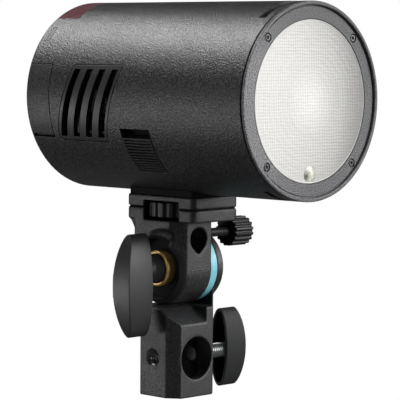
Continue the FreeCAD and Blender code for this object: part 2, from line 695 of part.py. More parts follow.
def locating_pins():
    return [z_rod(PIN_RADIUS, lift(-46.5), lift(-41.4), 0.0, y) for y in PIN_PLACES]


def thumbwheel():
    wheel = fluted(WHEEL_RADIUS, 5.8, V(0.0, STUD_Y, lift(-47.4)), V(0, 0, 1), 18, 0.9)
    return wheel.cut(z_rod(STUD_RADIUS, lift(-50.0), lift(-40.0), 0.0, STUD_Y))


def mount_stud():
    stud = z_rod(STUD_RADIUS, lift(-47.4), lift(-34.5), 0.0, STUD_Y)
    tip = [e for e in stud.Edges if abs(e.CenterOfMass.z - lift(-34.5)) < 0.01 and len(e.Vertexes) == 1]
    stud = stud.makeChamfer(0.5, tip)
    return stud.fuse(z_rod(2.5, lift(-49.2), lift(-47.4), 0.0, STUD_Y))


def brass_bush():
    """Flanged ring that stands out of the recess around the knob's hub."""
    ring = x_rod(BUSH_RADIUS, BUSH_FRONT_X, BUSH_REAR_X, TILT_Y, TILT_Z)
    ring = ring.makeFillet(0.95, [e for e in ring.Edges if e.CenterOfMass.x < BUSH_FRONT_X + 0.1])
    return ring.cut(x_rod(BUSH_BORE_RADIUS, -12.0, -4.0, TILT_Y, TILT_Z))


def thrust_washer():
    washer = x_rod(5.7, -6.0, -5.0, TILT_Y, TILT_Z)
    return washer.cut(x_rod(TILT_BOLT_RADIUS + 0.2, -7.0, -4.0, TILT_Y, TILT_Z))


def umbrella_screw():
    return x_rod(1.85, 4.4, 24.0, UMBRELLA_SCREW_Y, UMBRELLA_SCREW_Z)


def umbrella_knob():
    start = V(19.4, UMBRELLA_SCREW_Y, UMBRELLA_SCREW_Z)
    drum = fluted(6.0, 10.0, start, V(1, 0, 0), 16, 0.7)
    dish = x_rod(4.4, 28.8, 30.0, UMBRELLA_SCREW_Y, UMBRELLA_SCREW_Z)
    screw_hole = x_rod(1.85, 15.0, 24.0, UMBRELLA_SCREW_Y, UMBRELLA_SCREW_Z)
    return drum.cut([dish, screw_hole])


def umbrella_pad():
    return x_rod(1.85, 3.3, 4.3, UMBRELLA_SCREW_Y, UMBRELLA_SCREW_Z)


# ---- stand block ------------------------------------------------------------------

def octagon(z0, z1):
    front = BLOCK_HALF - BRACKET_CHAMFER
    near = BLOCK_REAR_Y - BRACKET_CHAMFER
    outline = [(BLOCK_CORNER_X, BLOCK_FRONT_Y), (front, BLOCK_FRONT_Y), (BLOCK_HALF, -near), (BLOCK_HALF, near),
               (front, BLOCK_REAR_Y), (-front, BLOCK_REAR_Y), (-BLOCK_HALF, near), (-BLOCK_HALF, -near)]
    return soft_uprights(plan_prism(outline, z0, z1))


def stand_block():
    """Octagonal socket with a curved shelf on top and one ear beside the knuckle."""
    block = octagon(0.0, SHELF_BACK_Z)
    boss = y_rod(CROSS_RADIUS + 1.0, BLOCK_FRONT_Y, -4.0, CROSS_X, CROSS_Z)
    ramp_start, ramp_end = V(-20.0, BLOCK_FRONT_Y, BLOCK_TOP_FRONT), V(-20.0, -2.6, SHELF_BACK_Z)
    ramp = Part.Arc(ramp_start, V(-20.0, -7.3, 33.2), ramp_end)
    corners = [ramp_end, V(-20.0, -2.6, 60.0), V(-20.0, -20.0, 60.0), V(-20.0, -20.0, BLOCK_TOP_FRONT), ramp_start]
    outline = Part.Wire([ramp.toShape()] + Part.makePolygon(corners).Edges)
    shelf = Part.Face(outline).extrude(V(20.0 + NECK_NEAR_X, 0, 0))
    block = block.fuse(boss).cut(shelf)
    neck = octagon(30.0, TILT_Z).common(box(EAR_NEAR_X, 20.0, -20.0, 20.0, 0.0, 60.0))
    disc = x_rod(14.4, EAR_NEAR_X, EAR_FAR_X, TILT_Y, TILT_Z)
    cradle = x_rod(KNUCKLE_RADIUS + 0.5, -20.0, EAR_NEAR_X, TILT_Y, TILT_Z)
    block = block.cut(cradle).fuse([neck, disc]).removeSplitter()
    cuts = [
        z_rod(BORE_RADIUS, -1.0, BORE_DEPTH, 0.0, 0.0),
        y_rod(CROSS_RADIUS, -20.0, CROSS_END_Y, CROSS_X, CROSS_Z),
        x_rod(SIDE_THREAD_RADIUS, -20.0, 0.0, 0.0, CROSS_Z),
        x_rod(STAND_SCREW_RADIUS + RUNNING_GAP, 0.0, 20.0, 0.0, STAND_SCREW_Z),
        x_rod(TILT_BOLT_RADIUS, 0.0, 20.0, TILT_Y, TILT_Z),
    ]
    return block.cut(cuts)


def friction_disc():
    return x_rod(14.3, DISC_NEAR_X, DISC_FAR_X, TILT_Y, TILT_Z).cut(
        x_rod(TILT_BOLT_RADIUS + 0.1, 0.0, 20.0, TILT_Y, TILT_Z))


def tilt_bolt():
    shaft = x_rod(TILT_BOLT_RADIUS, -27.8, EAR_FAR_X, TILT_Y, TILT_Z)
    return shaft.fuse(x_rod(5.6, EAR_FAR_X, EAR_FAR_X + 1.8, TILT_Y, TILT_Z))


def paddle(x_inner, x_outer, y, z, half_width, half_height, sag):
    """Oval paddle along X whose outer face is gently domed from end to end."""
    outline = Part.Ellipse(V(x_inner, y, z + half_height), V(x_inner, y + half_width, z), V(x_inner, y, z))
    body = Part.Face(Part.Wire(outline.toShape())).extrude(V(x_outer - x_inner, 0, 0))
    radius = (half_height ** 2 + sag ** 2) / (2 * sag)
    towards = math.copysign(1.0, x_outer - x_inner)
    dome = y_rod(radius, y - 20.0, y + 20.0, x_outer - towards * radius, z)
    return body.common(dome)


def tilt_knob():
    grip = paddle(-18.0, -31.0, 0.05, 45.3, 4.9, 20.5, 4.0)
    hub = x_rod(HUB_RADIUS, -21.0, -6.2, TILT_Y, TILT_Z)
    grip = grip.fuse(hub)
    bore = x_rod(TILT_BOLT_RADIUS + RUNNING_GAP, -28.0, 0.0, TILT_Y, TILT_Z)
    return grip.cut([bore, x_rod(4.5, -17.0, -8.0, TILT_Y, TILT_Z)])


def tilt_nut():
    nut = x_rod(4.5, -17.0, -8.0, TILT_Y, TILT_Z)
    return nut.cut(x_rod(TILT_BOLT_RADIUS + RUNNING_GAP, -20.0, 0.0, TILT_Y, TILT_Z))


def stand_knob():
    """Oval paddle, hollow behind, with a boss for its screw."""
    centre_z = STAND_SCREW_Z + 1.1
    grip = paddle(24.3, 35.6, 0.0, centre_z, 4.9, 16.1, 2.6)
    hollow = paddle(20.0, 31.0, 0.0, centre_z, 3.6, 14.8, 1.6)
    boss = x_rod(3.4, 28.0, 32.0, 0.0, STAND_SCREW_Z)
    grip = grip.cut(hollow).fuse(boss)
    return grip.cut(x_rod(SCREW_NECK_RADIUS, 20.0, 32.5, 0.0, STAND_SCREW_Z))


def stand_screw():
    screw = x_rod(STAND_SCREW_RADIUS, 9.4, 24.6, 0.0, STAND_SCREW_Z)
    return screw.fuse(x_rod(SCREW_NECK_RADIUS, 24.6, 32.5, 0.0, STAND_SCREW_Z))


def stand_pad():
    return x_rod(STAND_SCREW_RADIUS - 0.15, 8.2, 9.3, 0.0, STAND_SCREW_Z)


# ---- write every piece ---------------------------------------------------------------

def main():
    os.makedirs("parts", exist_ok=True)
    single = [
        barrel_shell, front_collar, bezel_ring, front_lens, led_lens, led_board, lens_gasket, reflector,
        flash_tube, tube_socket, vent_grille, port_cover, port_sockets, battery_latch, latch_spring,
        battery_case, battery_bay, sensor_window, indicator_light, main_board, fan_frame, fan_rotor, rear_panel,
        display_window, display_module, control_board, control_dial, set_button, power_switch,
        foot_pad, foot_plate, foot_insert, tilt_arm, thumbwheel, mount_stud, brass_bush, thrust_washer,
        umbrella_screw, umbrella_knob, umbrella_pad, stand_block, friction_disc, tilt_bolt, tilt_knob,
        tilt_nut, stand_knob, stand_screw, stand_pad,
    ]
    groups = [bezel_screws, battery_cells, battery_contacts, flash_capacitors, rear_screws, foot_screws,
              locating_pins]
    for make in single:
        save(make.__name__, make())
    for make in groups:
        save(make.__name__, *make())
    for node, place in BUTTON_PLACES.items():
        save(node, function_button(*place))


main()
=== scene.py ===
import json
import math

import bmesh
import bpy
from mathutils import Matrix, Vector


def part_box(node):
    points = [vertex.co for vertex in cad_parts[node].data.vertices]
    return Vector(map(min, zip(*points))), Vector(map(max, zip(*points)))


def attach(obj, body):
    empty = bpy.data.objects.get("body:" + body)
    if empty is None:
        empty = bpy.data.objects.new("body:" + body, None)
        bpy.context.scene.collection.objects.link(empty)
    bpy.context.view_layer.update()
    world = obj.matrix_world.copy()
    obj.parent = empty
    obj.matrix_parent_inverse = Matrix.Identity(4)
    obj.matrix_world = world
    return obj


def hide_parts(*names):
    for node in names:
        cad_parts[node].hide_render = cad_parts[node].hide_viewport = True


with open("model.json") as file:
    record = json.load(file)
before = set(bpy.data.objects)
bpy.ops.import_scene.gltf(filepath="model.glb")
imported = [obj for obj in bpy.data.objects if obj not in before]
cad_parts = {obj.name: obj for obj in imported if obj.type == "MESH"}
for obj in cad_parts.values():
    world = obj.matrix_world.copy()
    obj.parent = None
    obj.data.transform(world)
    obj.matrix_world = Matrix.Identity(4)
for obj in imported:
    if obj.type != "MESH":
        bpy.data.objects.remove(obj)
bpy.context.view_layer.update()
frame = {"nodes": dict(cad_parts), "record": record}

MM = 0.001
WHITE = (1.0, 1.0, 1.0)
NODES = frame["nodes"]


# ---- the barrel's line, front and radius, read from the CAD ------------------------------

collar_low, collar_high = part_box("front_collar")
AXIS_Z = (collar_low.z + collar_high.z) / 2
FRONT_Y = collar_low.y
BARREL_RADIUS = (collar_high.x - collar_low.x) / 2


# ---- camera ------------------------------------------------------------------------------

CAMERA_AZIMUTH = math.radians(-45.36)
CAMERA_ELEVATION = math.radians(4.194)
CAMERA_ROLL = math.radians(0.402)
CAMERA_LENS = 193.94
CAMERA_FROM_FRONT = Vector((-607.47, -540.52, 22.13)) * MM


def make_camera():
    a, e, r = CAMERA_AZIMUTH, CAMERA_ELEVATION, CAMERA_ROLL
    back = Vector((math.sin(a) * math.cos(e), -math.cos(a) * math.cos(e), math.sin(e)))
    level_right = Vector((math.cos(a), math.sin(a), 0.0))
    level_up = back.cross(level_right)
    right = math.cos(r) * level_right + math.sin(r) * level_up
    up = math.cos(r) * level_up - math.sin(r) * level_right
    data = bpy.data.cameras.new("camera")
    data.lens = CAMERA_LENS
    data.clip_start = 0.05
    data.clip_end = 50.0
    camera = bpy.data.objects.new("camera", data)
    place = Vector((0.0, FRONT_Y, AXIS_Z)) + CAMERA_FROM_FRONT
    turn = Matrix((right, up, back)).transposed()
    camera.matrix_world = Matrix.Translation(place) @ turn.to_4x4()
    bpy.context.collection.objects.link(camera)
    bpy.context.scene.camera = camera


# ---- floor, room and lamps ---------------------------------------------------------------

FLOOR_Z = -0.3
FLOOR_RADIUS = 3.0
ROOM_STRENGTH = 0.06
LAMPS_AIM = Vector((0.0, -0.01, 0.09))


def seen_white(tree, seen, shaded):
    """Gives the camera plain white and everything else the shaded result."""
    path = tree.nodes.new("ShaderNodeLightPath")
    mix = tree.nodes.new("ShaderNodeMixShader")
    tree.links.new(path.outputs["Is Camera Ray"], mix.inputs["Fac"])
    tree.links.new(shaded, mix.inputs[1])
    tree.links.new(seen, mix.inputs[2])
    return mix.outputs["Shader"]


def make_floor():
    mesh = bpy.data.meshes.new("floor")
    form = bmesh.new()
    bmesh.ops.create_circle(form, cap_ends=True, segments=96, radius=FLOOR_RADIUS,
                            matrix=Matrix.Translation((0.0, 0.0, FLOOR_Z)))
    form.to_mesh(mesh)
    form.free()
    floor = bpy.data.objects.new("floor", mesh)
    bpy.context.collection.objects.link(floor)
    material, tree, shader = new_material("pale_floor")
    shader.inputs["Roughness"].default_value = 0.9
    colour = grey_ramp(tree, noise(tree, 40.0, 2.0), [(0.0, 0.10), (1.0, 0.12)])
    tree.links.new(colour, shader.inputs["Base Color"])
    glow = tree.nodes.new("ShaderNodeEmission")
    surface = seen_white(tree, glow.outputs["Emission"], shader.outputs["BSDF"])
    tree.links.new(surface, tree.nodes["Material Output"].inputs["Surface"])
    mesh.materials.append(material)


def make_room():
    world = bpy.data.worlds.new("studio")
    world.use_nodes = True
    tree = world.node_tree
    seen = tree.nodes["Background"]
    seen.inputs["Color"].default_value = (*WHITE, 1.0)
    room = tree.nodes.new("ShaderNodeBackground")
    room.inputs["Color"].default_value = (*WHITE, 1.0)
    room.inputs["Strength"].default_value = ROOM_STRENGTH
    surface = seen_white(tree, seen.outputs["Background"], room.outputs["Background"])
    tree.links.new(surface, tree.nodes["World Output"].inputs["Surface"])
    bpy.context.scene.world = world
    bpy.context.scene.view_settings.view_transform = "Standard"


def softbox(name, direction, distance, size, radiance):
    """A rectangular lamp facing the object; its power follows from how bright it looks."""
    place = LAMPS_AIM + Vector(direction).normalized() * distance
    data = bpy.data.lights.new(name, "AREA")
    data.shape = "RECTANGLE"
    data.size, data.size_y = size
    data.energy = radiance * math.pi * size[0] * size[1]
    light = bpy.data.objects.new(name, data)
    light.location = place
    light.rotation_euler = (LAMPS_AIM - place).to_track_quat("-Z", "Y").to_euler()
    bpy.context.collection.objects.link(light)


def make_lights():
    softbox("front", (0.22, -1.0, 0.3), 1.3, (0.7, 0.9), 8.0)
    softbox("rear_top", (-0.215, 0.655, 0.755), 1.2, (0.8, 0.30), 14.0)
    softbox("left_low", (-0.70, 0.68, -0.2), 1.2, (0.6, 0.24), 6.0)
    softbox("right_front", (0.78, -0.62, 0.30), 1.25, (0.5, 0.8), 6.5)
    softbox("top_front", (0.15, -0.45, 0.88), 1.2, (0.35, 0.3), 5.0)
    softbox("left", (-1.0, -0.05, 0.35), 1.2, (0.2, 0.6), 1.7)


# ---- material building blocks ------------------------------------------------------------

WAVE_PERIOD = 0.314  # metres from band to band of a wave texture with scale 1
PLASTIC_IOR = 1.49


def new_material(name):
    material = bpy.data.materials.new(name)
    material.use_nodes = True
    tree = material.node_tree
    return material, tree, tree.nodes["Principled BSDF"]


def place_coordinates(tree, stretch=None):
    """Object coordinates, which are the CAD's own, in metres."""
    coordinates = tree.nodes.new("ShaderNodeTexCoord").outputs["Object"]
    if stretch is None:
        return coordinates
    mapping = tree.nodes.new("ShaderNodeMapping")
    mapping.inputs["Scale"].default_value = stretch
    tree.links.new(coordinates, mapping.inputs["Vector"])
    return mapping.outputs["Vector"]


def noise(tree, size_mm, detail=2.0, stretch=None):
    texture = tree.nodes.new("ShaderNodeTexNoise")
    texture.inputs["Scale"].default_value = 1.0 / (size_mm * MM)
    texture.inputs["Detail"].default_value = detail
    tree.links.new(place_coordinates(tree, stretch), texture.inputs["Vector"])
    return texture.outputs["Fac"]


def ramp(tree, source, stops):
    node = tree.nodes.new("ShaderNodeValToRGB")
    elements = node.color_ramp.elements
    for element, (at, colour) in zip(elements, stops):
        element.position = at
        element.color = (*colour, 1.0)
    for at, colour in stops[2:]:
        elements.new(at).color = (*colour, 1.0)
    tree.links.new(source, node.inputs["Fac"])
    return node.outputs["Color"]


def spread(tree, source, low, high, from_low=0.3, from_high=0.7):
    node = tree.nodes.new("ShaderNodeMapRange")
    node.inputs["From Min"].default_value = from_low
    node.inputs["From Max"].default_value = from_high
    node.inputs["To Min"].default_value = low
    node.inputs["To Max"].default_value = high
    tree.links.new(source, node.inputs["Value"])
    return node.outputs["Result"]


def soft_edges(tree, radius_mm):
    node = tree.nodes.new("ShaderNodeBevel")
    node.samples = 4
    node.inputs["Radius"].default_value = radius_mm * MM
    return node.outputs["Normal"]


def bump(tree, height, depth_mm, strength=1.0, normal=None):
    node = tree.nodes.new("ShaderNodeBump")
    node.inputs["Strength"].default_value = strength
    node.inputs["Distance"].default_value = depth_mm * MM
    tree.links.new(height, node.inputs["Height"])
    if normal is not None:
        tree.links.new(normal, node.inputs["Normal"])
    return node.outputs["Normal"]


def grained(name, dark, light, grain_mm, depth_mm, rough, edge_mm=0.3, metallic=0.0, specular=0.5,
            span=(0.35, 0.68)):
    """A surface with speckled colour, uneven gloss, fine relief and softened edges."""
    material, tree, shader = new_material(name)
    speck = noise(tree, grain_mm, 3.0)
    tree.links.new(ramp(tree, speck, [(span[0], dark), (span[1], light)]), shader.inputs["Base Color"])
    patches = noise(tree, 14.0, 3.0)
    tree.links.new(spread(tree, patches, rough[0], rough[1]), shader.inputs["Roughness"])
    normal = soft_edges(tree, edge_mm) if edge_mm else None
    tree.links.new(bump(tree, speck, depth_mm, 1.0, normal), shader.inputs["Normal"])
    shader.inputs["Metallic"].default_value = metallic
    shader.inputs["Specular IOR Level"].default_value = specular
    return material


def clear(name, tint, rough, transmission):
    """Tinted see-through plastic or glass."""
    material, tree, shader = new_material(name)
    tone = tuple(min(1.0, c * 1.04) for c in tint)
    tree.links.new(ramp(tree, noise(tree, 6.0, 2.0), [(0.3, tint), (0.7, tone)]), shader.inputs["Base Color"])
    tree.links.new(spread(tree, noise(tree, 3.0, 2.0), rough[0], rough[1]), shader.inputs["Roughness"])
    shader.inputs["Transmission Weight"].default_value = transmission
    shader.inputs["IOR"].default_value = PLASTIC_IOR
    return material


def bands(tree, axis, pitch_mm, sway, sway_size):
    """Straight bands at a real pitch that wander a little."""
    texture = tree.nodes.new("ShaderNodeTexWave")
    texture.bands_direction = axis
    texture.inputs["Scale"].default_value = WAVE_PERIOD / (pitch_mm * MM)
    texture.inputs["Distortion"].default_value = sway
    texture.inputs["Detail"].default_value = 2.0
    texture.inputs["Detail Scale"].default_value = sway_size
    tree.links.new(place_coordinates(tree), texture.inputs["Vector"])
    return texture.outputs["Fac"]


def combine(tree, operation, first, second):
    node = tree.nodes.new("ShaderNodeMath")
    node.operation = operation
    for socket, value in zip(node.inputs, (first, second)):
        if isinstance(value, float):
            socket.default_value = value
        else:
            tree.links.new(value, socket)
    return node.outputs["Value"]


def distance_from(tree, point):
    """Distance from a point in the CAD's own coordinates, in metres."""
    node = tree.nodes.new("ShaderNodeVectorMath")
    node.operation = "DISTANCE"
    tree.links.new(place_coordinates(tree), node.inputs[0])
    node.inputs[1].default_value = point
    return node.outputs["Value"]


def times(tree, first, second):
    mix = tree.nodes.new("ShaderNodeMix")
    mix.data_type = "RGBA"
    mix.blend_type = "MULTIPLY"
    mix.inputs["Factor"].default_value = 1.0
    tree.links.new(first, mix.inputs["A"])
    tree.links.new(second, mix.inputs["B"])
    return mix.outputs["Result"]


def grey_ramp(tree, source, stops, tint=WHITE):
    return ramp(tree, source, [(at, tuple(level * c for c in tint)) for at, level in stops])


def paint_light_and_shade(material, centre, reach, stops):
    """Paints light and shade into a material's colour: scales it with the distance from a place; each stop is
    (share of reach, level).
    """
    tree = material.node_tree
    shader = tree.nodes["Principled BSDF"]
    colour = shader.inputs["Base Color"].links[0].from_socket
    away = spread(tree, distance_from(tree, centre), 0.0, 1.0, 0.0, reach)
    tree.links.new(times(tree, colour, grey_ramp(tree, away, stops)), shader.inputs["Base Color"])


def roughen_near(material, centre, reach, rough):
    """Makes a material dull within a short distance of a place on the object."""
    tree = material.node_tree
    shader = tree.nodes["Principled BSDF"]
    plain = shader.inputs["Roughness"].links[0].from_socket
    near = spread(tree, distance_from(tree, centre), rough, 0.0, 0.96 * reach, reach)
    tree.links.new(combine(tree, "MAXIMUM", plain, near), shader.inputs["Roughness"])


def prism_lens(name):
    """Frosted lens: fine crossed prisms, brighter in the middle with a painted glow, greyer towards the far edge
    with painted shade.
    """
    material, tree, shader = new_material(name)
    lens_low, lens_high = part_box("front_lens")
    radius = (lens_high.x - lens_low.x) / 2
    near_edge = (-radius, lens_low.y, AXIS_Z - 0.05 * radius)
    middle = (0.03 * radius, lens_low.y, AXIS_Z)
    # painted shade: the colour greys with distance from the near edge; painted light: a glow brightens the middle
    away = spread(tree, distance_from(tree, near_edge), 0.0, 1.0, 0.0, 2.0 * radius)
    glow = spread(tree, distance_from(tree, middle), 0.0, 1.0, 0.0, 0.42 * radius)
    colour = grey_ramp(tree, away, [(0.0, 0.81), (1.0, 0.19), (0.257, 0.785), (0.385, 0.75), (0.546, 0.68),
                                    (0.658, 0.60), (0.77, 0.49), (0.883, 0.32)], (1.0, 0.985, 0.95))
    colour = times(tree, colour, grey_ramp(tree, glow, [(0.0, 1.0), (1.0, 0.8)]))
    columns = combine(tree, "MULTIPLY", bands(tree, "X", 1.0, 2.4, 0.9), 0.45)
    rows = combine(tree, "MULTIPLY", bands(tree, "Z", 1.2, 3.6, 0.8), 0.5)
    grid = combine(tree, "ADD", columns, rows)
    rings = tree.nodes.new("ShaderNodeTexWave")
    rings.wave_type = "RINGS"
    rings.rings_direction = "Y"
    rings.inputs["Scale"].default_value = WAVE_PERIOD / (2.6 * MM)
    shift = tree.nodes.new("ShaderNodeMapping")
    shift.inputs["Location"].default_value = (0.0, 0.0, -AXIS_Z)
    tree.links.new(place_coordinates(tree), shift.inputs["Vector"])
    tree.links.new(shift.outputs["Vector"], rings.inputs["Vector"])
    relief = combine(tree, "ADD", grid, combine(tree, "MULTIPLY", rings.outputs["Fac"], 0.2))
    relief = combine(tree, "ADD", relief, noise(tree, 1.1, 3.0, (0.4, 1.0, 1.0)))
    shade = grey_ramp(tree, spread(tree, relief, 0.0, 1.0, 0.35, 1.6), [(0.0, 0.88), (1.0, 1.0)])
    tree.links.new(times(tree, colour, shade), shader.inputs["Base Color"])
    tree.links.new(spread(tree, noise(tree, 2.0, 2.0), 0.28, 0.4), shader.inputs["Roughness"])
    tree.links.new(bump(tree, relief, 0.12, 0.4), shader.inputs["Normal"])
    return material


def led_plastic(name):
    """Moulded clear dome with the lamp showing through it, painted as light and shade: a dark band, then a bright
    band of painted highlight across the dome.
    """
    material, tree, shader = new_material(name)
    low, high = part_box("led_lens")
    near_edge = (low.x, low.y, (low.z + high.z) / 2)
    across = spread(tree, distance_from(tree, near_edge), 0.0, 1.0, 0.0, high.x - low.x)
    painted_dome_light = ramp(tree, across, [(0.0, (0.55, 0.56, 0.46)), (1.0, (0.50, 0.51, 0.42)),
                                  (0.25, (0.22, 0.225, 0.17)), (0.48, (0.97, 0.97, 0.84)),
                                  (0.72, (0.75, 0.76, 0.64))])
    painted_dome_light = times(tree, painted_dome_light, grey_ramp(tree, noise(tree, 1.1, 1.0), [(0.3, 0.75), (0.7, 1.0)]))
    tree.links.new(painted_dome_light, shader.inputs["Base Color"])
    tree.links.new(spread(tree, noise(tree, 3.0, 2.0), 0.06, 0.12), shader.inputs["Roughness"])
    shader.inputs["Transmission Weight"].default_value = 0.25
    tree.links.new(bump(tree, noise(tree, 1.4, 1.0), 0.25), shader.inputs["Normal"])
    return material


def lit(name, colour, strength):
    """Display segments that glow a little, unevenly."""
    material, tree, shader = new_material(name)
    dim = tuple(0.85 * c for c in colour)
    tone = ramp(tree, noise(tree, 2.0, 1.0), [(0.3, dim), (0.7, colour)])
    tree.links.new(tone, shader.inputs["Base Color"])
    tree.links.new(tone, shader.inputs["Emission Color"])
    shader.inputs["Emission Strength"].default_value = strength
    tree.links.new(spread(tree, noise(tree, 3.0, 1.0), 0.3, 0.4), shader.inputs["Roughness"])
    return material


# ---- the materials: one for each slot, and a few for single nodes --------------------------

POCKET_X = -7.6 * MM  # floor of the arm's pocket round the bush, where the tilt knob's stem goes in
KNUCKLE_RADIUS = 14.8 * MM
STEM_PAINTED_SHADE, STEM_DULL = 8.0 * MM, 7.0 * MM  # how far round the stem the tilt knob has painted shade, and how far it is dull
SHELF_DULL = 11.0 * MM  # the same for the block's shelf under the knuckle


def base_looks():
    """Materials by name, before any shading by place."""
    return {
        "barrel_black": grained("barrel_black", (0.0, 0.0, 0.0), (0.072, 0.071, 0.073), 0.64, 0.23,
                                (0.30, 0.36), 0.2, span=(0.42, 0.64)),
        "collar_black": grained("collar_black", (0.04, 0.04, 0.042), (0.23, 0.23, 0.24), 0.5, 0.2,
                                (0.40, 0.46), 0.2, span=(0.4, 0.62)),
        "trim_black": grained("trim_black", (0.012, 0.012, 0.013), (0.024, 0.024, 0.026), 0.3, 0.04,
                              (0.38, 0.46), 0.25),
        "rubber_black": grained("rubber_black", (0.008, 0.008, 0.009), (0.014, 0.014, 0.015), 0.25, 0.015,
                                (0.6, 0.7), 0.25, specular=0.08),
        "cast_black": grained("cast_black", (0.001, 0.001, 0.0012), (0.034, 0.034, 0.036), 0.5, 0.2,
                              (0.33, 0.40), 0.6, specular=0.55, span=(0.4, 0.62)),
        "knob_black": grained("knob_black", (0.010, 0.010, 0.011), (0.020, 0.021, 0.022), 0.4, 0.04,
                              (0.5, 0.58), 0.6, specular=0.25),
        "lens_frosted": prism_lens("lens_frosted"),
        "clear_plastic": led_plastic("clear_plastic"),
        "sensor_red": clear("sensor_red", (0.20, 0.075, 0.085), (0.12, 0.2), 0.25),
        "light_pipe": grained("light_pipe", (0.21, 0.21, 0.212), (0.25, 0.25, 0.252), 0.5, 0.01,
                              (0.5, 0.6), 0.1, specular=0.3),
        "display_glass": grained("display_glass", (0.008, 0.008, 0.01), (0.012, 0.012, 0.014), 8.0, 0.001,
                                 (0.04, 0.09), 0.2),
        "button_grey": grained("button_grey", (0.09, 0.09, 0.095), (0.13, 0.13, 0.135), 0.3, 0.01,
                               (0.5, 0.6), 0.3),
        "reflector_silver": grained("reflector_silver", (0.82, 0.82, 0.83), (0.9, 0.9, 0.91), 1.2, 0.02,
                                    (0.15, 0.25), 0.0, 1.0),
        "tube_glass": clear("tube_glass", (0.92, 0.9, 0.86), (0.25, 0.35), 0.6),
        "ceramic_white": grained("ceramic_white", (0.72, 0.71, 0.68), (0.82, 0.81, 0.78), 0.4, 0.02,
                                 (0.6, 0.7)),
        "steel": grained("steel", (0.55, 0.56, 0.57), (0.72, 0.73, 0.74), 0.3, 0.01,
                         (0.16, 0.28), 0.15, 1.0),
        "steel_black": grained("steel_black", (0.03, 0.03, 0.032), (0.06, 0.06, 0.063), 0.3, 0.01,
                               (0.3, 0.42), 0.25, 0.5),
        "brass": grained("brass", (1.0, 0.62, 0.20), (1.0, 0.70, 0.27), 0.6, 0.004,
                         (0.26, 0.34), 0.2, 0.5),
        "tilt_knob": grained("tilt_knob", (0.012, 0.012, 0.013), (0.026, 0.027, 0.028), 0.4, 0.04,
                             (0.38, 0.45), 0.6, specular=0.5),
        "umbrella_knob": grained("umbrella_knob", (0.005, 0.005, 0.006), (0.012, 0.012, 0.013), 0.4, 0.03,
                                 (0.30, 0.38), 0.3, specular=0.3),
        "screw_steel": grained("screw_steel", (0.26, 0.28, 0.275), (0.36, 0.38, 0.375), 0.3, 0.01,
                               (0.26, 0.34), 0.0, 0.9),
        "mark_white": grained("mark_white", (0.62, 0.62, 0.61), (0.72, 0.72, 0.71), 0.3, 0.0,
                              (0.5, 0.6), 0.0),
        "display_lit": lit("display_lit", (0.55, 0.80, 0.95), 0.9),
        "screw_dark": grained("screw_dark", (0.05, 0.05, 0.052), (0.12, 0.12, 0.124), 0.3, 0.01,
                              (0.28, 0.36), 0.06, 0.6),
        "thread_steel": grained("thread_steel", (0.12, 0.12, 0.125), (0.2, 0.2, 0.205), 0.3, 0.01,
                                (0.3, 0.4), 0.0, 0.9),
        "rim_clear": clear("rim_clear", (0.70, 0.70, 0.68), (0.1, 0.16), 0.2),
        "port_rubber": grained("port_rubber", (0.0, 0.0, 0.0), (0.062, 0.062, 0.064), 0.6, 0.16,
                               (0.38, 0.44), 0.2, span=(0.42, 0.64)),
        "disc_blue": grained("disc_blue", (0.19, 0.55, 0.65), (0.26, 0.62, 0.71), 0.8, 0.01,
                             (0.3, 0.4), 0.3),
        "board_green": grained("board_green", (0.01, 0.09, 0.04), (0.02, 0.14, 0.07), 1.5, 0.02,
                               (0.35, 0.5)),
        "sleeve_black": grained("sleeve_black", (0.02, 0.02, 0.028), (0.035, 0.035, 0.045), 3.0, 0.01,
                                (0.2, 0.3)),
        "cell_green": grained("cell_green", (0.03, 0.24, 0.16), (0.05, 0.32, 0.21), 4.0, 0.01,
                              (0.25, 0.35)),
        "heat_sink": grained("heat_sink", (0.5, 0.5, 0.52), (0.62, 0.62, 0.64), 0.4, 0.01,
                             (0.35, 0.5), 0.1, 1.0),
    }


def renamed_copy(looks, source, name):
    looks[name] = looks[source].copy()
    looks[name].name = name


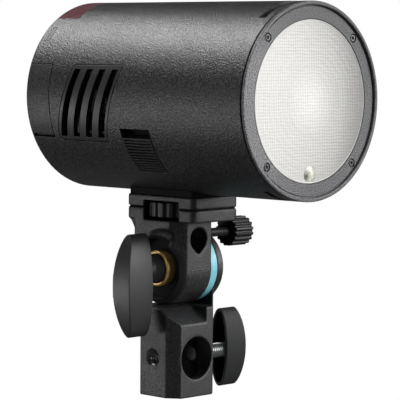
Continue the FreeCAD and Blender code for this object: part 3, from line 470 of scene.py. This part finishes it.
def make_materials():
    """All looks; the darker places are painted shade, the lighter ones painted light, and the duller places are
    painted on too, so they stay when the light changes.
    """
    looks = base_looks()
    # painted light and shade on the bezel: lighter near its left edge, darker towards the right and round the top
    paint_light_and_shade(looks["collar_black"], (-BARREL_RADIUS, FRONT_Y, AXIS_Z - 4.0 * MM), 2.0 * BARREL_RADIUS,
         [(0.0, 1.0), (1.0, 0.62), (0.12, 1.1), (0.3, 1.12), (0.42, 0.85), (0.6, 0.66)])
    paint_light_and_shade(looks["collar_black"], (0.35 * BARREL_RADIUS, FRONT_Y, AXIS_Z + BARREL_RADIUS), 1.5 * BARREL_RADIUS,
         [(0.0, 0.62), (1.0, 1.0), (0.5, 0.72), (0.75, 0.92)])
    bush_low, bush_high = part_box("brass_bush")
    pocket = Vector((POCKET_X, (bush_low.y + bush_high.y) / 2, (bush_low.z + bush_high.z) / 2))
    renamed_copy(looks, "cast_black", "arm_black")
    # painted shade: the arm goes nearly black in its pocket round the bush, where the knob shades it
    paint_light_and_shade(looks["arm_black"], pocket, KNUCKLE_RADIUS, [(0.0, 0.1), (1.0, 1.0), (0.9, 0.12), (0.96, 0.3)])
    roughen_near(looks["arm_black"], pocket, KNUCKLE_RADIUS - 0.2 * MM, 0.9)
    stem = pocket - Vector((5.0 * MM, 0.0, 0.0))
    # painted shade: the tilt knob darkens round its stem, in the shadow of the knob
    paint_light_and_shade(looks["tilt_knob"], stem, STEM_PAINTED_SHADE, [(0.0, 0.1), (1.0, 1.0), (0.8, 0.2)])
    roughen_near(looks["tilt_knob"], stem, STEM_DULL, 0.9)
    renamed_copy(looks, "cast_black", "block_black")
    shelf = Vector((-1.0 * MM, pocket.y + 8.0 * MM, bush_low.z - 8.5 * MM))
    roughen_near(looks["block_black"], shelf, SHELF_DULL, 0.95)
    disc_low, disc_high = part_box("friction_disc")
    low_edge = (disc_high.x, (disc_low.y + disc_high.y) / 2 - 4.0 * MM, disc_low.z - 6.0 * MM)
    # painted shade: the blue disc darkens towards its low edge
    paint_light_and_shade(looks["disc_blue"], low_edge, disc_high.z - disc_low.z,
         [(0.0, 0.55), (1.0, 1.0), (0.3, 0.62), (0.6, 0.94)])
    return looks


# nodes that don't simply take their slot's look
LOOK_OF_NODE = {
    "port_cover": "port_rubber",
    "tilt_arm": "arm_black",
    "stand_block": "block_black",
    "umbrella_knob": "umbrella_knob",
    "tilt_knob": "tilt_knob",
    "locating_pins": "thread_steel",
    "stand_screw": "screw_steel",
}


def slot_of(node):
    return next(part["material_slot"] for part in frame["record"]["subparts"] if part["node"] == node)


def look_of(looks, node):
    return looks[LOOK_OF_NODE.get(node, slot_of(node))]


def dress(node, material):
    """Puts a material on every slot of a CAD node."""
    slots = NODES[node].material_slots
    for slot in slots:
        slot.material = material
    if not slots:
        NODES[node].data.materials.append(material)


# ---- mesh helpers ------------------------------------------------------------------------

def piece(name, form, body, look, node=None):
    """A finished mesh with the given material that rides on a CAD body, and stands for one of its nodes when one
    is named.
    """
    mesh = bpy.data.meshes.new(name)
    bmesh.ops.recalc_face_normals(form, faces=form.faces)
    form.to_mesh(mesh)
    form.free()
    mesh.materials.append(look)
    made = bpy.data.objects.new(name, mesh)
    bpy.context.collection.objects.link(made)
    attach(made, body)
    if node:
        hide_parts(node)
    return made


def join(form, rings):
    """Faces between each ring of vertices and the next."""
    for first, second in zip(rings, rings[1:]):
        for i in range(len(first)):
            j = (i + 1) % len(first)
            form.faces.new((first[i], first[j], second[j], second[i]))


def loft(form, rings):
    """A closed body: rings joined in turn, with a face on each end."""
    join(form, rings)
    form.faces.new(rings[0])
    form.faces.new(list(reversed(rings[-1])))


def centre_xz(node):
    """Middle of a node's box, seen along Y."""
    low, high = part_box(node)
    return (low.x + high.x) / 2, (low.z + high.z) / 2


# ---- pieces in place of plain CAD solids ---------------------------------------------------

ROD_SEGMENTS = 32
ROD_RINGS_PER_TURN = 8


def threaded_rod(centre, start, end, radius, pitch, depth):
    """A rod along X with a real helical ridge between its plain ends."""
    thread_start, thread_end = start + 0.6 * MM, end - 0.5 * MM

    def ridge(place, angle):
        if not thread_start <= place <= thread_end:
            return 0.0
        turn = (place / pitch - angle / (2 * math.pi)) % 1.0
        return -depth * abs(2 * turn - 1)

    steps = int((end - start) / pitch * ROD_RINGS_PER_TURN)
    sections = [(start + (end - start) * k / steps, radius) for k in range(steps + 1)]
    sections = [(start, radius * 0.82), (start + 0.3 * MM, radius * 0.97)] + sections[1:]
    form = bmesh.new()
    rings = []
    for place, plain_radius in sections:
        ring = []
        for i in range(ROD_SEGMENTS):
            angle = 2 * math.pi * i / ROD_SEGMENTS
            r = plain_radius + ridge(place, angle)
            ring.append(form.verts.new(centre + Vector((place, -r * math.sin(angle), r * math.cos(angle)))))
        rings.append(ring)
    loft(form, rings)
    return form


def replace_screws(looks):
    """Both clamp screws, with threads from their tips to their knobs."""
    for node, body, pitch, depth in (("stand_screw", "stand_clamp_screw", 1.1, 0.5),
                                     ("umbrella_screw", "umbrella_thumbscrew", 0.7, 0.3)):
        low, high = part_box(node)
        centre = Vector((0.0, (low.y + high.y) / 2, (low.z + high.z) / 2))
        radius = (high.z - low.z) / 2
        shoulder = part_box("stand_knob")[0].x + 4.0 * MM if node == "stand_screw" else high.x
        form = threaded_rod(centre, low.x, shoulder, radius, pitch * MM, depth * MM)
        made = piece("fine_" + node, form, body, look_of(looks, node), node)
        made.data.shade_smooth()


def soften(node, body, look, voxel_mm, passes, keep):
    """A copy of a CAD solid with every edge rounded, as a casting or moulding has."""
    mesh = NODES[node].data.copy()
    mesh.transform(NODES[node].matrix_world)
    draft = bpy.data.objects.new("draft", mesh)
    bpy.context.collection.objects.link(draft)
    remesh = draft.modifiers.new("remesh", "REMESH")
    remesh.mode = "VOXEL"
    remesh.voxel_size = voxel_mm * MM
    smooth = draft.modifiers.new("smooth", "SMOOTH")
    smooth.factor = 0.5
    smooth.iterations = passes
    thin = draft.modifiers.new("thin", "DECIMATE")
    thin.ratio = keep
    evaluated = draft.evaluated_get(bpy.context.evaluated_depsgraph_get())
    form = bmesh.new()
    form.from_mesh(bpy.data.meshes.new_from_object(evaluated))
    bpy.data.objects.remove(draft)
    piece("soft_" + node, form, body, look, node).data.shade_smooth()


# node: body, voxel size in mm, smoothing passes, share of faces kept
SOFTENED = {
    "tilt_arm": ("flash_head", 0.24, 26, 0.25),
    "foot_plate": ("flash_head", 0.22, 14, 0.25),
    "stand_block": ("stand_socket", 0.26, 26, 0.25),
    "tilt_knob": ("tilt_knob", 0.2, 3, 0.25),
    "stand_knob": ("stand_clamp_screw", 0.2, 4, 0.25),
    "umbrella_knob": ("umbrella_thumbscrew", 0.16, 4, 0.3),
    "thumbwheel": ("thumbwheel", 0.18, 4, 0.3),
}


SCREW_SEGMENTS = 36
SCREW_HEAD_RADIUS = 1.6 * MM


def add_screw(form, x, z, profile):
    """Adds a closed body about a line along Y; the profile gives (y, radius, lobe depth) in mm."""
    rings = []
    for y, radius, lobe in profile:
        ring = []
        for i in range(SCREW_SEGMENTS):
            angle = 2 * math.pi * i / SCREW_SEGMENTS
            r = (radius + lobe * math.cos(6 * angle)) * MM
            ring.append(form.verts.new((x + r * math.cos(angle), FRONT_Y + y * MM, z + r * math.sin(angle))))
        rings.append(ring)
    loft(form, rings)


def bezel_screws(looks):
    """Front screws with a chamfered head, a six-lobed socket and a gap around them."""
    low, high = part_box("bezel_screws")
    profile = [(6.5, 0.78, 0.0), (1.92, 0.78, 0.0), (1.92, 1.36, 0.0), (1.24, 1.36, 0.0), (1.07, 1.2, 0.0),
               (1.05, 0.9, 0.0), (1.09, 0.62, 0.13), (1.7, 0.55, 0.11)]
    form = bmesh.new()
    for x in (low.x + SCREW_HEAD_RADIUS, high.x - SCREW_HEAD_RADIUS):
        for z in (low.z + SCREW_HEAD_RADIUS, high.z - SCREW_HEAD_RADIUS):
            add_screw(form, x, z, profile)
    piece("fine_bezel_screws", form, "flash_head", looks["screw_dark"], "bezel_screws")


# ---- pieces with no CAD solid: the lens's rim, a thread, and fillings of seams and recesses, one a dark sheet of painted shadow ---

RIM_POINTS = 160
PLATE_CORNER = 3.0 * MM  # corner radius of the foot plate
SIDE_HOLE_Z = 15.6 * MM  # height of the block's small threaded hole


def gasket_lip(looks):
    """Thin dark seam and raised clear rim where lens meets bezel; profiles are (depth, radius) in mm."""
    for name, look, slot, profile in (
            ("gasket_lip", "trim_black", "trim_black",
             [(1.35, 31.16), (1.12, 31.16), (1.08, 31.08), (1.10, 30.96), (1.35, 30.9)]),
            ("lens_rim", "rim_clear", slot_of("front_lens"),
             [(1.3, 30.88), (1.06, 30.8), (1.02, 30.66), (1.08, 30.5), (1.3, 30.42)])):
        form = bmesh.new()
        rings = []
        for depth, radius in profile:
            r, y = radius * MM, FRONT_Y + depth * MM
            rings.append([form.verts.new((r * math.cos(t), y, AXIS_Z + r * math.sin(t)))
                          for t in (2 * math.pi * i / RIM_POINTS for i in range(RIM_POINTS))])
        join(form, rings + rings[:1])
        piece(name, form, "flash_head", looks[look]).data.shade_smooth()


def side_thread(looks):
    """Helical ridge inside the small threaded hole in the block's near side."""
    pitch, turns, steps_per_turn = 1.27 * MM, 4, 40
    radius, depth = 3.22 * MM, 0.55 * MM
    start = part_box("stand_block")[0].x + 0.5 * MM
    form = bmesh.new()
    rows = []
    for k in range(turns * steps_per_turn + 1):
        angle = 2 * math.pi * k / steps_per_turn
        x = start + pitch * k / steps_per_turn
        row = []
        for dx, r in ((-0.55, radius), (-0.1, radius - depth), (0.1, radius - depth), (0.55, radius)):
            row.append(form.verts.new((x + dx * pitch, r * math.cos(angle), SIDE_HOLE_Z + r * math.sin(angle))))
        rows.append(row)
    for first, second in zip(rows, rows[1:]):
        for i in range(3):
            form.faces.new((first[i], first[i + 1], second[i + 1], second[i]))
    piece("side_thread_ridge", form, "stand_socket", looks["thread_steel"])


def latch_floor(looks):
    """Shallow curved floor seen in the recess above the ribbed slider."""
    inner, outer = 34.1 * MM, 34.3 * MM
    front, rear = FRONT_Y + 50.8 * MM, FRONT_Y + 68.4 * MM
    first_degrees, step_degrees, steps = 104.0, 2.0, 16
    form = bmesh.new()
    rings = []
    for k in range(steps + 1):
        angle = math.radians(first_degrees + step_degrees * k)
        rings.append([form.verts.new((-radius * math.sin(angle), y, AXIS_Z + radius * math.cos(angle)))
                      for radius, y in ((inner, front), (inner, rear), (outer, rear), (outer, front))])
    loft(form, rings)
    piece("latch_floor", form, "flash_head", looks["rubber_black"])


def plate_outline(low, high, inset, steps=8):
    """Points round the foot plate's rounded rectangle, seen from above."""
    points = []
    radius = PLATE_CORNER - inset
    left, right = low.x + PLATE_CORNER, high.x - PLATE_CORNER
    front, rear = low.y + PLATE_CORNER, high.y - PLATE_CORNER
    for cx, cy, start in ((right, rear, 0), (left, rear, 90), (left, front, 180), (right, front, 270)):
        for k in range(steps + 1):
            angle = math.radians(start + 90.0 * k / steps)
            points.append((cx + radius * math.cos(angle), cy + radius * math.sin(angle)))
    return points


def pad_skirt(looks):
    """Rubber lip round the saddle pad, filling the seam between barrel and foot plate."""
    low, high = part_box("foot_plate")
    form = bmesh.new()
    rings = []
    for inset, top in ((0.7, False), (0.7, True), (1.98, True), (1.98, False)):
        ring = []
        for x, y in plate_outline(low, high, inset * MM):
            barrel_z = AXIS_Z - math.sqrt((BARREL_RADIUS + 0.04 * MM) ** 2 - x * x)
            ring.append(form.verts.new((x, y, barrel_z if top else high.z + 0.01 * MM)))
        rings.append(ring)
    join(form, rings + rings[:1])
    piece("pad_skirt", form, "flash_head", looks["rubber_black"])


def seam_shadow_strip(looks):
    """Dark sheet between the foot plate and the arm, a painted shadow standing in for the seam's shade, left out
    at the thumbwheel's windows.
    """
    low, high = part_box("foot_plate")
    wheel_low, wheel_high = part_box("thumbwheel")
    window = (wheel_low.y - 0.9 * MM, wheel_high.y + 0.9 * MM)
    bottom, top = low.z - 0.22 * MM, low.z + 0.22 * MM
    sections = [[Vector((*outer, bottom)), Vector((*outer, top)), Vector((*inner, top)), Vector((*inner, bottom))]
                for outer, inner in zip(plate_outline(low, high, 0.5 * MM), plate_outline(low, high, 1.5 * MM))]
    form = bmesh.new()
    for first, second in zip(sections, sections[1:] + sections[:1]):
        spans = [(0.0, 1.0)]
        run = second[0] - first[0]
        if abs(run.x) < 0.1 * MM and abs(run.y) > 10.0 * MM:
            gap = sorted((y - first[0].y) / run.y for y in window)
            spans = [(0.0, gap[0]), (gap[1], 1.0)]
        for start, end in spans:
            loft(form, [[form.verts.new(a.lerp(b, t)) for a, b in zip(first, second)] for t in (start, end)])
    piece("seam_shadow_strip", form, "flash_head", looks["rubber_black"])


# ---- raised marks on the rear panel ----------------------------------------------------------

MARK_SUNK = 0.02 * MM
MARK_RAISED = 0.12 * MM
DISPLAY_RAISED = 0.06 * MM
DISPLAY_MARGIN = 3.0 * MM


def stroke(form, start, end, width, y0, y1):
    """A thin bar from y0 to y1 on a face that looks along +Y; start and end are (x, z)."""
    first, last = Vector((start[0], 0.0, start[1])), Vector((end[0], 0.0, end[1]))
    along = last - first
    side = Vector((along.z, 0.0, -along.x)).normalized() * (width / 2)
    corners = [first + side, last + side, last - side, first - side]
    loft(form, [[form.verts.new(c + Vector((0.0, y, 0.0))) for c in corners] for y in (y0, y1)])


def circle_points(centre, radius, steps=20):
    return [(centre[0] + radius * math.cos(2 * math.pi * k / steps),
             centre[1] + radius * math.sin(2 * math.pi * k / steps)) for k in range(steps + 1)]


def polyline(form, points, width, y0, y1):
    for start, end in zip(points, points[1:]):
        stroke(form, start, end, width, y0, y1)


DIGIT_SEGMENTS = {"1": "bc", "4": "fgbc", "6": "afgedc"}


def digit(form, character, centre, height, width, y0, y1):
    """A seven-segment numeral; x is mirrored because the panel is read from behind."""
    x, z = centre
    reach = 0.88 * height  # strokes stop short of the corners
    w, h = 0.28 * reach, 0.5 * reach
    ends = {"a": ((w, h), (-w, h)), "b": ((-w, h), (-w, 0)), "c": ((-w, 0), (-w, -h)), "d": ((w, -h), (-w, -h)),
            "e": ((w, 0), (w, -h)), "f": ((w, h), (w, 0)), "g": ((w, 0), (-w, 0))}
    for name in DIGIT_SEGMENTS[character]:
        (x0, z0), (x1, z1) = ends[name]
        stroke(form, (x + x0, z + z0), (x + x1, z + z1), width, y0, y1)


def marks(name, body, look, draw):
    """One piece from a function that draws its strokes."""
    form = bmesh.new()
    draw(form)
    piece(name, form, body, look)


def dial_ticks(form, hub, y0, y1):
    """24 ticks round the dial, each sixth one longer."""
    for k in range(24):
        angle = math.radians(15.0 * k)
        turn = (math.cos(angle), math.sin(angle))
        start, end = [(hub[0] + r * turn[0], hub[1] + r * turn[1])
                      for r in ((13.0 if k % 6 == 0 else 13.6) * MM, 14.6 * MM)]
        stroke(form, start, end, 0.32 * MM, y0, y1)


def button_symbol(node):
    """Lines of (x, z) points: plus, minus, flash and ring."""
    x, z = centre_xz(node)
    arm = 1.6 * MM
    across, upright = [(x + arm, z), (x - arm, z)], [(x, z + arm), (x, z - arm)]
    bolt = [(x + dx * MM, z + dz * MM) for dx, dz in ((0.6, 1.9), (-0.5, 0.2), (0.5, -0.1), (-0.6, -1.9))]
    return {"button_left_upper": [across, upright], "button_left_lower": [across],
            "button_right_upper": [bolt], "button_right_lower": [circle_points((x, z), 1.5 * MM)]}[node]


def switch_marks(form, y0, y1):
    """A bar and a ring beside the power switch."""
    low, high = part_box("power_switch")
    z = (low.z + high.z) / 2
    bar_x, width = low.x - 3.4 * MM, 0.35 * MM
    stroke(form, (bar_x, z + 1.0 * MM), (bar_x, z - 1.0 * MM), width, y0, y1)
    polyline(form, circle_points((high.x + 6.2 * MM, z), 1.0 * MM), width, y0, y1)


def display_lines(form):
    """Frame, header line, ten growing bars, a battery outline and the setting 1/64."""
    low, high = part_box("display_window")
    face = (high.y - MARK_SUNK, high.y + DISPLAY_RAISED)
    left, right = high.x - DISPLAY_MARGIN, low.x + DISPLAY_MARGIN
    bottom, top = low.z + 2.6 * MM, high.z - 2.6 * MM
    corners = [(left, bottom), (left, top), (right, top), (right, bottom), (left, bottom)]
    polyline(form, corners, 0.22 * MM, *face)
    stroke(form, (left, high.z - 6.6 * MM), (right, high.z - 6.6 * MM), 0.18 * MM, *face)
    for k in range(10):
        x, foot = left - (2.6 + 2.6 * k) * MM, low.z + 4.0 * MM
        stroke(form, (x, foot), (x, foot + (0.8 + 0.2 * k) * MM), 1.3 * MM, *face)
    cell_x, cell_z = right + 5.4 * MM, high.z - 4.6 * MM
    outline = [(cell_x + dx * MM, cell_z + dz * MM)
               for dx, dz in ((2.2, -1.1), (2.2, 1.1), (-2.2, 1.1), (-2.2, -1.1), (2.2, -1.1))]
    polyline(form, outline, 0.2 * MM, *face)
    for dx in (1.3, 0.2, -0.9):
        x = cell_x + dx * MM
        stroke(form, (x, cell_z + 0.7 * MM), (x, cell_z - 0.7 * MM), 0.7 * MM, *face)
    middle = (low.z + high.z) / 2 + 0.2 * MM
    for across, character in ((4.4, "1"), (14.6, "6"), (20.4, "4")):
        digit(form, character, (left - across * MM, middle), 6.0 * MM, 0.6 * MM, *face)
    stroke(form, (left - 8.6 * MM, middle - 2.8 * MM), (left - 10.6 * MM, middle + 2.8 * MM), 0.5 * MM, *face)


def rear_marks(looks):
    """Tick ring, button symbols, switch marks and a lit display with plain numbers."""
    white = looks["mark_white"]
    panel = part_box("rear_panel")[1].y
    face = (panel - MARK_SUNK, panel + MARK_RAISED)
    marks("dial_ticks", "flash_head", white,
          lambda form: dial_ticks(form, centre_xz("set_button"), *face))
    for node in ("button_left_upper", "button_left_lower", "button_right_upper", "button_right_lower"):
        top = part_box(node)[1].y

        def draw(form, node=node, top=top):
            for points in button_symbol(node):
                polyline(form, points, 0.42 * MM, top - MARK_SUNK, top + MARK_RAISED)

        marks(node + "_symbol", node, white, draw)
    marks("switch_marks", "flash_head", white, lambda form: switch_marks(form, *face))
    marks("display_lines", "flash_head", looks["display_lit"], display_lines)


# ---- the whole scene -------------------------------------------------------------------------

def main():
    make_camera()
    make_floor()
    make_room()
    make_lights()
    looks = make_materials()
    for part in frame["record"]["subparts"]:
        dress(part["node"], look_of(looks, part["node"]))
    replace_screws(looks)
    for node, (body, voxel, passes, keep) in SOFTENED.items():
        soften(node, body, look_of(looks, node), voxel, passes, keep)
    bezel_screws(looks)
    gasket_lip(looks)
    side_thread(looks)
    latch_floor(looks)
    pad_skirt(looks)
    seam_shadow_strip(looks)
    rear_marks(looks)


main()
